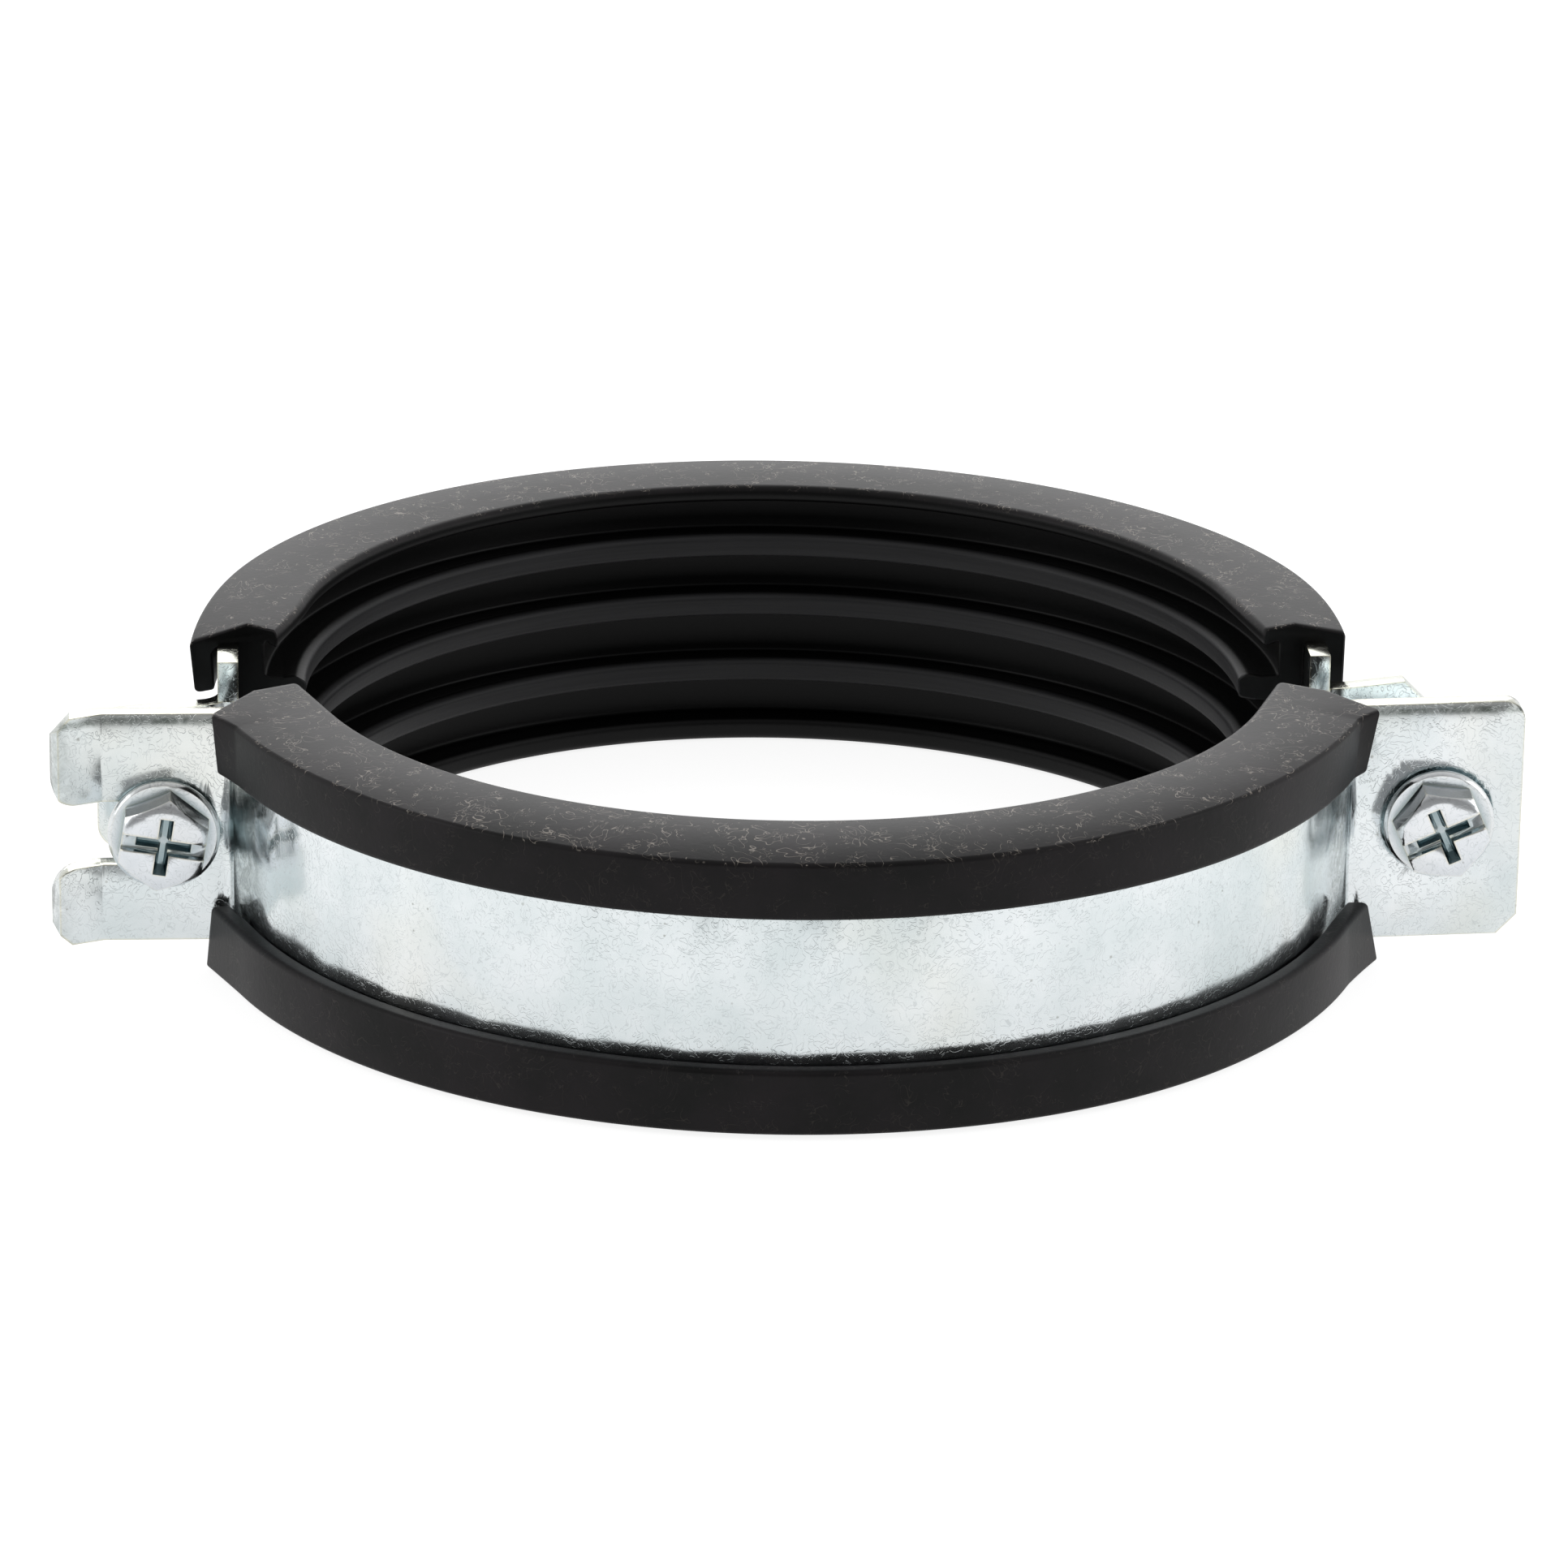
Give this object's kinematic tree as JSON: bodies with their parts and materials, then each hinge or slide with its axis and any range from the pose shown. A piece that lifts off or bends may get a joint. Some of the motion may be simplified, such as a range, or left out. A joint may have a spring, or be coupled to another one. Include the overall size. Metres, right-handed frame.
{
  "type": "rubber lined pipe clamp",
  "caption": "Open steel pipe clamp: half rings with ribbed black rubber linings, flanged ear screws, a forked ear and a welded connection nut.",
  "frame": {"origin": "rear half's pipe axis at mid width of the clamp", "axes": "+Z along the pipe, +X towards the plain right ear, +Y towards the connection nut"},
  "size_m": [0.1768, 0.165, 0.0346],
  "materials": {
    "zinc_plated_strip": "bright blue passivated zinc plating on rolled strip",
    "black_rubber": "matt extruded rubber with fine surface scratches",
    "bright_screw": "bright zinc plating, cold headed",
    "zinc_plated_nut": "bright blue passivated zinc plating"
  },
  "bodies": {
    "rear_half": {"rear_band": "zinc_plated_strip", "rear_lining": "black_rubber", "connection_nut": "zinc_plated_nut"},
    "front_half": {"front_band": "zinc_plated_strip", "front_lining": "black_rubber"},
    "left_screw": {"left_screw": "bright_screw"},
    "right_screw": {"right_screw": "bright_screw"}
  },
  "joints": [
    {"name": "clamp_gap", "type": "slide", "parent": "rear_half", "child": "front_half", "axis": [0, -1, 0], "range_m": [-0.0145, 0.0075]},
    {"name": "left_screw_turn", "type": "hinge", "parent": "front_half", "child": "left_screw", "pos_m": [-0.0742, -0.0238, 0], "axis": [0, -1, 0], "range_deg": [-5220, 2700]},
    {"name": "right_screw_turn", "type": "hinge", "parent": "front_half", "child": "right_screw", "pos_m": [0.079, -0.0238, 0], "axis": [0, -1, 0], "range_deg": [-5220, 2700]}
  ],
  "couplings": [
    {"joint": "left_screw_turn", "follows": "clamp_gap", "rad_per_m": 6283.2},
    {"joint": "right_screw_turn", "follows": "clamp_gap", "rad_per_m": 6283.2}
  ]
}
